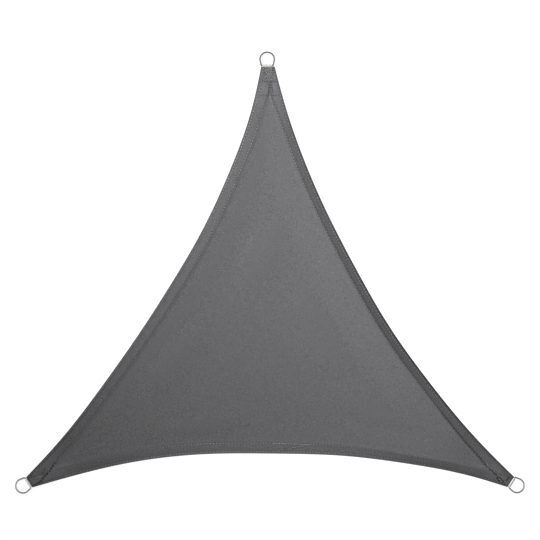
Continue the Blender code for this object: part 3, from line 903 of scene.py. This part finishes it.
def stitch_nodes(material):
    """Lays one short arched thread on every point."""
    tree, entry = new_group(
        "lay_stitches", "GeometryNodeTree", ("Spots", "NodeSocketGeometry"),
        {"Long": STITCH_LONG, "Thread Radius": THREAD_R, "Arch": ARCH, "Up": 1.0},
        {"Stitches": "NodeSocketGeometry"})
    add = partial(add_node, tree)
    half, back = (math_node(tree, "MULTIPLY", entry["Long"], share) for share in (0.5, -0.5))
    dip, top = (math_node(tree, "MULTIPLY", entry["Arch"], share) for share in (ARCH_ENDS, ARCH_TOP))
    arch = add("GeometryNodeCurveQuadraticBezier", {
        "Resolution": 7,
        "Start": add("ShaderNodeCombineXYZ", {"X": back, "Z": dip}),
        "Middle": add("ShaderNodeCombineXYZ", {"Z": top}),
        "End": add("ShaderNodeCombineXYZ", {"X": half, "Z": dip})})
    section = add("GeometryNodeCurvePrimitiveCircle", {"Resolution": 6, "Radius": entry["Thread Radius"]})
    thread = add("GeometryNodeCurveToMesh", {"Curve": arch, "Profile Curve": section, "Fill Caps": True})
    smooth = add("GeometryNodeSetShadeSmooth", {"Geometry": thread})
    spots = add("GeometryNodeMeshToPoints", {"Mesh": entry["Spots"]})
    run = add("GeometryNodeInputNamedAttribute", {"Name": "run"}, data_type="FLOAT_VECTOR")
    ahead = add("FunctionNodeAlignRotationToVector", {"Vector": run.outputs["Attribute"]}, axis="X")
    way_up = add("ShaderNodeCombineXYZ", {"Z": entry["Up"]})
    upright = add("FunctionNodeAlignRotationToVector", {"Rotation": ahead, "Vector": way_up},
                  axis="Z", pivot_axis="X")
    sway = add("FunctionNodeRandomValue", {0: SWAY_LEAST, 1: SWAY_MOST, "Seed": 4}, data_type="FLOAT_VECTOR")
    turned = add("FunctionNodeRotateRotation", {"Rotation": upright, "Rotate By": sway},
                 rotation_space="LOCAL")
    size = add("FunctionNodeRandomValue", {0: SIZE_LEAST, 1: SIZE_MOST, "Seed": 9}, data_type="FLOAT_VECTOR")
    laid = add("GeometryNodeInstanceOnPoints", {
        "Points": spots, "Instance": smooth, "Rotation": turned, "Scale": size})
    real = add("GeometryNodeRealizeInstances", {"Geometry": laid})
    finish = add("GeometryNodeSetMaterial", {"Geometry": real, "Material": material})
    add("NodeGroupOutput", {"Stitches": finish})
    return tree


def build_stitches(tree, stitches, upper):
    spots = stitch_spots(stitches, upper)
    modifier = spots.modifiers.new("stitches", "NODES")
    modifier.node_group = tree
    values = {"Up": 1.0} if upper else {"Up": -1.0, "Arch": BACK_ARCH, "Thread Radius": BACK_THREAD_R}
    for item in tree.interface.items_tree:
        if item.in_out == "INPUT" and item.name in values:
            modifier[item.identifier] = values[item.name]
    spots.update_tag()
    graph = bpy.context.evaluated_depsgraph_get()
    mesh = bpy.data.meshes.new_from_object(spots.evaluated_get(graph))
    bpy.data.objects.remove(spots, do_unlink=True)
    mesh.name = "stitches_face" if upper else "stitches_back"
    return link(mesh.name, mesh)


# ---- webbing loops and rings
def corner_matrix(corner, shift):
    turn = Matrix.Rotation(math.radians(corner.facing_deg), 4, "Z")
    return Matrix.Translation((*corner_place(corner, 0.0, shift), 0.0)) @ turn


def skin(bm, loops):
    """Faces between each loop of points and the next one."""
    for loop, following in zip(loops, loops[1:]):
        for step in range(len(loop)):
            after = (step + 1) % len(loop)
            bm.faces.new((loop[step], loop[after], following[after], following[step]))


def finish_piece(name, bm, place, tone, material):
    """What was built, as an object set in place. Its painted light value is how much lighter or darker it is
    painted at its corner.
    """
    bmesh.ops.recalc_face_normals(bm, faces=bm.faces)
    mesh = bpy.data.meshes.new(name)
    bm.to_mesh(mesh)
    bm.free()
    mesh.transform(place)
    corner_painted_light = mesh.attributes.new("corner_painted_light", "FLOAT", "POINT")
    corner_painted_light.data.foreach_set("value", np.full(len(mesh.vertices), tone, np.float32))
    mesh.materials.append(material)
    mesh.shade_smooth()
    return link(name, mesh)


def strap_path():
    """The folded strap's middle line: out over the lower tail, round the bar and back."""
    joint = [(x * MM, float(corner_rise(-x * MM)) + CORNER_HALF) for x in TAIL_PLACES]
    path = [(x, z - TAIL_APART) for x, z in joint]
    path += [(x * MM, BAR_HIGH - z * MM) for x, z in NECK]
    for step in range(WRAP_STEPS + 1):
        angle = math.radians(-WRAP_DEG / 2 + WRAP_DEG * step / WRAP_STEPS)
        path.append((BAR_OUT + LOOP_MID_R * math.cos(angle), BAR_HIGH + LOOP_MID_R * math.sin(angle)))
    path += [(x * MM, BAR_HIGH + z * MM) for x, z in reversed(NECK)]
    path += [(x, z + TAIL_APART) for x, z in reversed(joint)]
    return [Vector(point) for point in path]


def strap_section():
    """Across the strap: flat faces with shallow ribs, and round selvedges."""
    half_thick = WEBBING_THICK / 2
    half_flat = WEBBING_WIDE / 2 - half_thick
    section = []
    for step in range(RIBS * 2 + 1):
        across = -1.0 + 2.0 * step / (RIBS * 2)
        section.append((across * half_flat, half_thick - RIB_DEEP * (step % 2)))
    for step in range(1, SELVEDGE_STEPS):
        angle = math.radians(90 - 180 * step / SELVEDGE_STEPS)
        section.append((half_flat + half_thick * math.cos(angle), half_thick * math.sin(angle)))
    return section + [(-x, -z) for x, z in section]


def build_strap(corner, material):
    path = strap_path()
    bm = bmesh.new()
    uv_layer = bm.loops.layers.uv.new("grain")
    loops = []
    grain = {}
    run = 0.0
    for index, point in enumerate(path):
        before = path[max(index - 1, 0)]
        run += (point - before).length
        along = (path[min(index + 1, len(path) - 1)] - before).normalized()
        out = Vector((along.y, -along.x))
        loops.append([])
        for across, lift in strap_section():
            spot = point + out * lift
            vert = bm.verts.new((spot.x, across, spot.y))
            loops[-1].append(vert)
            grain[vert] = (run, across)
    skin(bm, loops)
    bm.faces.new(loops[0])
    bm.faces.new(loops[-1])
    for face in bm.faces:
        for loop in face.loops:
            loop[uv_layer].uv = grain[loop.vert]
    bmesh.ops.triangulate(bm, faces=[face for face in bm.faces if len(face.verts) > 4])
    place = corner_matrix(corner, corner.loop_shift)
    strap = finish_piece("strap_" + corner.name, bm, place, corner.strap_tone, material)
    strap.data.set_sharp_from_angle(angle=math.radians(SHARP_STRAP_DEG))
    return strap


def ring_path():
    """The wire's middle line round the D, in plan: X outward from the bar, Y along it."""
    lean = math.radians(LEG_LEAN_DEG)
    points = []
    for step in range(ARC_STEPS + 1):
        angle = -lean + (math.pi + 2 * lean) * step / ARC_STEPS
        points.append((RING_ARC_OUT + RING_ARC_R * math.sin(angle), RING_ARC_R * math.cos(angle)))
    turn = math.pi / 2 - lean
    leg_foot = points[0][1] - points[0][0] * math.tan(lean)
    bar_half = leg_foot - RING_BEND_R * math.tan(turn / 2)
    bend = []
    for step in range(BEND_STEPS + 1):
        angle = turn * step / BEND_STEPS
        bend.append((RING_BEND_R * (1 - math.cos(angle)), bar_half + RING_BEND_R * math.sin(angle)))
    bar = [(0.0, bar_half * step / BAR_STEPS) for step in range(1 - BAR_STEPS, BAR_STEPS)]
    return points + [(x, -y) for x, y in reversed(bend)] + bar + bend


def build_ring(corner, material):
    path = [Vector((x, y, 0.0)) for x, y in ring_path()]
    turns = [2 * math.pi * step / WIRE_SIDES for step in range(WIRE_SIDES)]
    bm = bmesh.new()
    loops = []
    for index, point in enumerate(path):
        ahead = path[(index + 1) % len(path)]
        along = (ahead - point).normalized() + (point - path[index - 1]).normalized()
        side = Vector((0, 0, 1)).cross(along.normalized())
        loops.append([bm.verts.new(point + (side * math.cos(t) + Vector((0, 0, math.sin(t)))) * WIRE_R)
                      for t in turns])
    skin(bm, loops + loops[:1])
    droop = math.asin((BAR_HIGH - WIRE_R - CROWN_CLEAR) / (RING_ARC_OUT + RING_ARC_R))
    place = (corner_matrix(corner, corner.ring_shift)
             @ Matrix.Translation((BAR_OUT, 0.0, BAR_HIGH))
             @ Matrix.Rotation(droop, 4, "Y"))
    return finish_piece("ring_wire_" + corner.name, bm, place, corner.ring_tone, material)


# ---- materials
CLOTH_YARN = 0.9 * MM
WEBBING_YARN = 1.3 * MM


def woven_yarns():
    """A plain weave: its height, and a tone that varies along single yarns."""
    tree, entry = new_group(
        "woven_yarns", "ShaderNodeTree", ("Grain", "NodeSocketVector"),
        {"Yarn Pitch": CLOTH_YARN, "Slub Long": 0.03, "Slub Wide": 0.0025},
        {"Height": "NodeSocketFloat", "Slubs": "NodeSocketFloat"})
    calc = partial(math_node, tree)
    split = add_node(tree, "ShaderNodeSeparateXYZ", {0: entry["Grain"]}).outputs
    x, y = (calc("DIVIDE", split[axis], entry["Yarn Pitch"]) for axis in "XY")
    crests = []
    slubs = []
    for own, other, wide, long in ((x, y, "X", "Y"), (y, x, "Y", "X")):
        lane = calc("SINE", calc("MULTIPLY", calc("FRACT", own), math.pi))
        phase = calc("MULTIPLY", calc("ADD", other, calc("FLOOR", own)), math.pi)
        crests.append(calc("MULTIPLY", lane, calc("MULTIPLY_ADD", calc("COSINE", phase), 0.5, 0.5)))
        spot = add_node(tree, "ShaderNodeCombineXYZ", {
            "X": calc("DIVIDE", split[wide], entry["Slub Wide"]),
            "Y": calc("DIVIDE", split[long], entry["Slub Long"])})
        noise = add_node(tree, "ShaderNodeTexNoise", {"Vector": spot, "Scale": 1.0, "Detail": 1.0})
        slubs.append(noise.outputs["Fac"])
    add_node(tree, "NodeGroupOutput", {
        "Height": calc("MAXIMUM", *crests), "Slubs": calc("MULTIPLY", calc("ADD", *slubs), 0.5)})
    return tree


def new_material(name, inputs):
    material = bpy.data.materials.new(name)
    material.use_nodes = True
    shader = material.node_tree.nodes["Principled BSDF"]
    for key, value in inputs.items():
        shader.inputs[key].default_value = value
    return material, material.node_tree, shader


def ramp(tree, value, low, high, start=0.0, end=1.0):
    """A colour between low and high as value runs from start to end."""
    spread = add_node(tree, "ShaderNodeMapRange", {"Value": value, "From Min": start, "From Max": end})
    mixed = add_node(tree, "ShaderNodeMix", {
        "Factor": spread, "A": (*low, 1.0), "B": (*high, 1.0)}, data_type="RGBA")
    return mixed.outputs["Result"]


def set_colour(tree, shader, colour, tone_name):
    """The colour, times painted light and shade that the mesh carries."""
    tone = add_node(tree, "ShaderNodeAttribute", attribute_name=tone_name)
    mixed = add_node(tree, "ShaderNodeMix", {
        "Factor": 1.0, "A": colour, "B": tone.outputs["Color"]}, data_type="RGBA", blend_type="MULTIPLY")
    tree.links.new(mixed.outputs["Result"], shader.inputs["Base Color"])


def set_bump(tree, shader, height, strength, distance):
    bump = add_node(tree, "ShaderNodeBump", {"Strength": strength, "Distance": distance, "Height": height})
    tree.links.new(bump.outputs["Normal"], shader.inputs["Normal"])


def noise_over(tree, scale, detail):
    """Noise over the piece, in its own metres."""
    place = add_node(tree, "ShaderNodeTexCoord").outputs["Object"]
    noise = add_node(tree, "ShaderNodeTexNoise", {"Vector": place, "Scale": scale, "Detail": detail})
    return noise.outputs["Fac"]


def yarns_over(tree, weave, pitch):
    """The weave along the piece's own grain."""
    grain = add_node(tree, "ShaderNodeUVMap", uv_map="grain")
    yarns = add_node(tree, "ShaderNodeGroup", {"Grain": grain, "Yarn Pitch": pitch}, node_tree=weave)
    return yarns.outputs


def charcoal_cloth(weave):
    material, tree, shader = new_material("charcoal_cloth", {"Roughness": 0.85, "Specular IOR Level": 0.25})
    yarns = yarns_over(tree, weave, CLOTH_YARN)
    slubs = math_node(tree, "MULTIPLY", yarns["Slubs"], 0.2)
    both = math_node(tree, "MULTIPLY_ADD", noise_over(tree, scale=400.0, detail=1.0), 0.8, slubs)
    colour = ramp(tree, both, (0.0541, 0.0536, 0.0554), (0.1363, 0.1350, 0.1398), start=0.3, end=0.7)
    # times the painted light and shade of the hems, corners and needle holes
    set_colour(tree, shader, colour, "shade")
    set_bump(tree, shader, yarns["Height"], strength=0.5, distance=0.15 * MM)
    return material


def grey_thread():
    material, tree, shader = new_material("grey_thread", {"Roughness": 0.55})
    # one grey thread, painted lighter or darker stitch by stitch: painted highlight and shade
    tone = add_node(tree, "ShaderNodeAttribute", attribute_name="tone")
    colour = ramp(tree, tone.outputs["Fac"], (0.02, 0.02, 0.022), (0.50, 0.50, 0.51), end=1.5)
    tree.links.new(colour, shader.inputs["Base Color"])
    set_bump(tree, shader, noise_over(tree, scale=1500.0, detail=1.0), strength=0.4, distance=0.1 * MM)
    return material


def pale_webbing(weave):
    material, tree, shader = new_material("pale_webbing", {"Roughness": 0.7})
    yarns = yarns_over(tree, weave, WEBBING_YARN)
    # painted shade: the hollows between the yarns are coloured darker than their crests
    colour = ramp(tree, yarns["Height"], (0.60, 0.60, 0.59), (0.70, 0.70, 0.685))
    # times each strap's painted light, lighter or darker corner by corner
    set_colour(tree, shader, colour, "corner_painted_light")
    set_bump(tree, shader, yarns["Height"], strength=0.4, distance=0.2 * MM)
    return material


def polished_steel():
    material, tree, shader = new_material("polished_steel", {"Roughness": 0.26, "Metallic": 1.0})
    scuff = noise_over(tree, scale=900.0, detail=3.0)
    colour = ramp(tree, scuff, (0.50, 0.50, 0.51), (0.60, 0.60, 0.61), start=0.35, end=0.65)
    # times each ring's painted light, darker at some corners
    set_colour(tree, shader, colour, "corner_painted_light")
    rough = add_node(tree, "ShaderNodeMapRange", {"Value": scuff, "To Min": 0.18, "To Max": 0.36})
    tree.links.new(rough.outputs["Result"], shader.inputs["Roughness"])
    return material


# ---- studio
VIEW_MIDDLE = (0.000286, 0.010715)
VIEW_WIDE = 2.2302
CAMERA_HIGH = 9.0
SENSOR_WIDE = 36.0  # mm
WHITE = (1.0, 1.0, 1.0, 1.0)
FLOOR_REACH = 8.0
FLOOR_AT = -0.0004  # just under the sail
FLOOR_COLOUR = 0.22
FLOOR_GLOW = 0.90
ROOM_LIGHT = 0.17
ROOM_IN_STEEL = 1.05  # what the rings mirror: light side walls,
ROOM_END_WALLS = 0.04  # dark end walls
KEY_TURN_DEG = 158.0  # the key light comes in low from the upper left,
KEY_LIFT_DEG = 22.1
KEY_FAR = 7.0
KEY_AIM = (2.38, 0.62, 0.0)  # and is brightest towards the right
KEY_HALF_DEG = 26.2
KEY_SOFT = 0.55
KEY_POWER = 4900.0
TOP_PLACE = (0.95, 0.40, 1.74)  # a wide lamp over the right half
TOP_WIDE = 1.0
TOP_POWER = 37.0


def add_light(name, kind, place, **settings):
    lamp = bpy.data.lights.new(name, kind)
    for key, value in settings.items():
        setattr(lamp, key, value)
    light = link(name, lamp)
    light.location = place
    light.visible_glossy = False
    return light


def studio():
    scene = bpy.context.scene
    scene.view_settings.view_transform = "Standard"
    lens = bpy.data.cameras.new("camera")
    lens.sensor_width = SENSOR_WIDE
    lens.lens = SENSOR_WIDE * CAMERA_HIGH / VIEW_WIDE
    lens.clip_end = 50.0
    scene.camera = link("camera", lens)
    scene.camera.location = (*VIEW_MIDDLE, CAMERA_HIGH)

    floor_mesh = bpy.data.meshes.new("floor")
    corners = [(x * FLOOR_REACH, y * FLOOR_REACH, FLOOR_AT) for x, y in ((-1, -1), (1, -1), (1, 1), (-1, 1))]
    floor_mesh.from_pydata(corners, [], [(0, 1, 2, 3)])
    floor = link("floor", floor_mesh)
    material, _, _ = new_material("white_floor", {
        "Base Color": (FLOOR_COLOUR, FLOOR_COLOUR, FLOOR_COLOUR, 1.0), "Roughness": 0.9,
        "Emission Color": WHITE, "Emission Strength": FLOOR_GLOW, "Specular IOR Level": 0.0})
    floor_mesh.materials.append(material)

    scene.world = bpy.data.worlds.new("studio")
    scene.world.use_nodes = True
    room = scene.world.node_tree
    path = add_node(room, "ShaderNodeLightPath")
    way = add_node(room, "ShaderNodeTexCoord")
    split = add_node(room, "ShaderNodeSeparateXYZ", {0: way.outputs["Generated"]})
    ahead = math_node(room, "POWER", math_node(room, "ABSOLUTE", split.outputs["Y"]), 0.5)
    mirrored = math_node(room, "MULTIPLY_ADD", ahead, ROOM_END_WALLS - ROOM_IN_STEEL, ROOM_IN_STEEL)
    strength = add_node(room, "ShaderNodeMapRange", {
        "Value": path.outputs["Is Glossy Ray"], "To Min": ROOM_LIGHT, "To Max": mirrored})
    room.links.new(strength.outputs["Result"], room.nodes["Background"].inputs["Strength"])
    room.nodes["Background"].inputs["Color"].default_value = WHITE

    turn, lift = math.radians(KEY_TURN_DEG), math.radians(KEY_LIFT_DEG)
    place = KEY_FAR * Vector((
        math.cos(turn) * math.cos(lift), math.sin(turn) * math.cos(lift), math.sin(lift)))
    key = add_light("key_light", "SPOT", place, energy=KEY_POWER, shadow_soft_size=KEY_SOFT,
                    spot_size=math.radians(2 * KEY_HALF_DEG), spot_blend=1.0)
    key.rotation_euler = (key.location - Vector(KEY_AIM)).to_track_quat("Z", "Y").to_euler()
    top = add_light("top_light", "AREA", TOP_PLACE, energy=TOP_POWER, shape="SQUARE", size=TOP_WIDE)
    top.visible_camera = False


def main():
    weave = woven_yarns()
    stitches = all_stitches()
    cloth = build_cloth(charcoal_cloth(weave), stitches)
    tree = stitch_nodes(grey_thread())
    face_seams = build_stitches(tree, stitches, True)
    back_seams = build_stitches(tree, stitches, False)
    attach(cloth, "root")
    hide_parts("sail_cloth")
    for seams in (face_seams, back_seams):
        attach(seams, "root")
    webbing = pale_webbing(weave)
    steel = polished_steel()
    for corner in CORNERS:
        strap = build_strap(corner, webbing)
        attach(strap, "root")
        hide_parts("webbing_loop_" + corner.name)
        ring = build_ring(corner, steel)
        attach(ring, "root")
        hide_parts("ring_" + corner.name)
    studio()


main()
